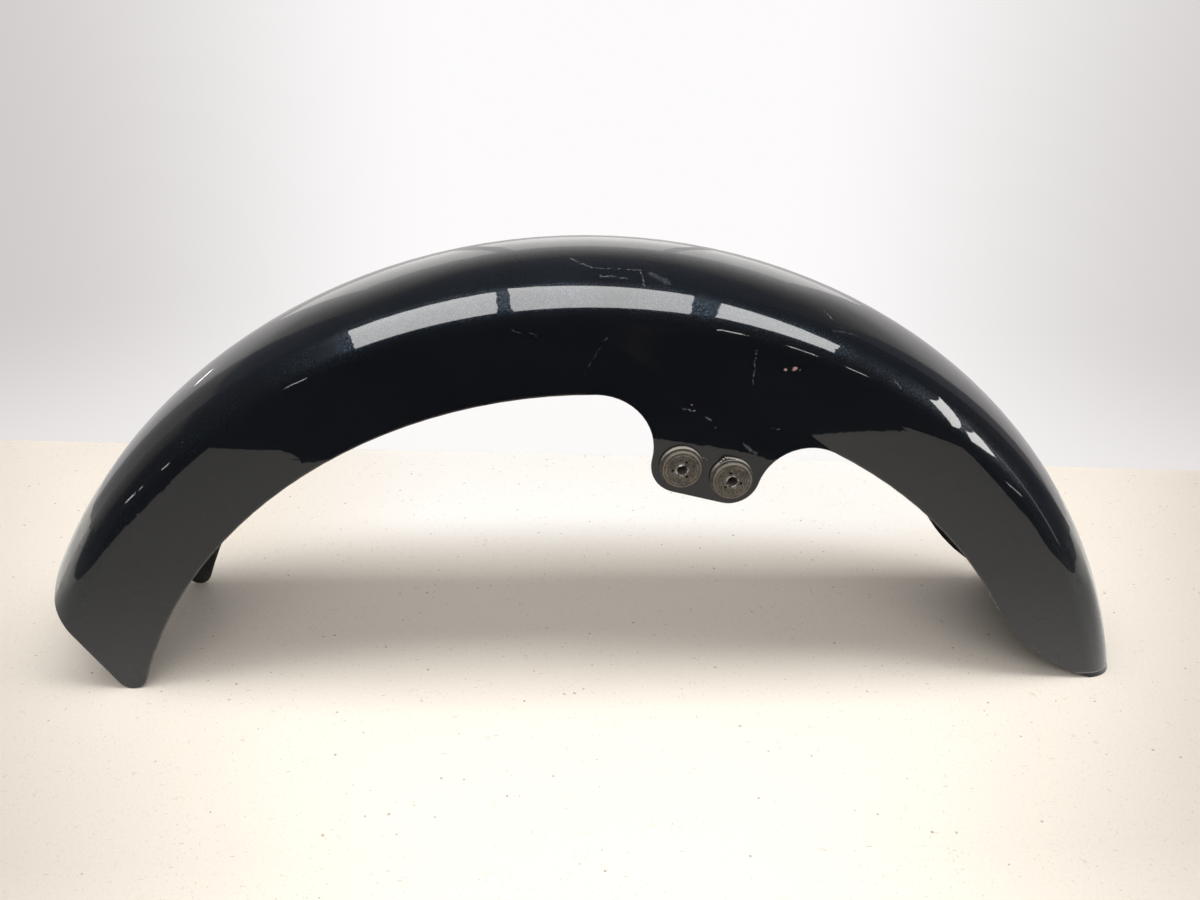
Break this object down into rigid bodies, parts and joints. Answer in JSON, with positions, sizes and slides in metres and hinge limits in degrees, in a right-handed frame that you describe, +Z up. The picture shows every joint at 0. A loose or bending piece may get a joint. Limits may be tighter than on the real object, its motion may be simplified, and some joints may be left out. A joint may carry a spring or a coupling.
{
  "type": "motorcycle front mudguard",
  "caption": "Front mudguard of a motorcycle: a curved pressed steel blade with flat side skirts, a fixing tab on each side and rubber bushes with steel sleeves for the fork screws",
  "frame": {"origin": "middle of the footprint on the surface that the guard stands on, which is the bottom centre of its box", "axes": "+X points forward on the motorcycle, +Y to its left, +Z up. The wheel axle would run along Y, below the origin."},
  "size_m": [0.653, 0.122, 0.255],
  "materials": {
    "black_paint": "gloss black paint, finely scratched",
    "dusty_rubber": "dusty matt rubber",
    "plated_steel": "dull zinc plating"
  },
  "bodies": {
    "root": {"fender_shell": "black_paint", "bush_right_rear": "dusty_rubber", "bush_right_front": "dusty_rubber", "bush_left_rear": "dusty_rubber", "bush_left_front": "dusty_rubber", "sleeve_right_rear": "plated_steel", "sleeve_right_front": "plated_steel", "sleeve_left_rear": "plated_steel", "sleeve_left_front": "plated_steel"}
  },
  "joints": []
}
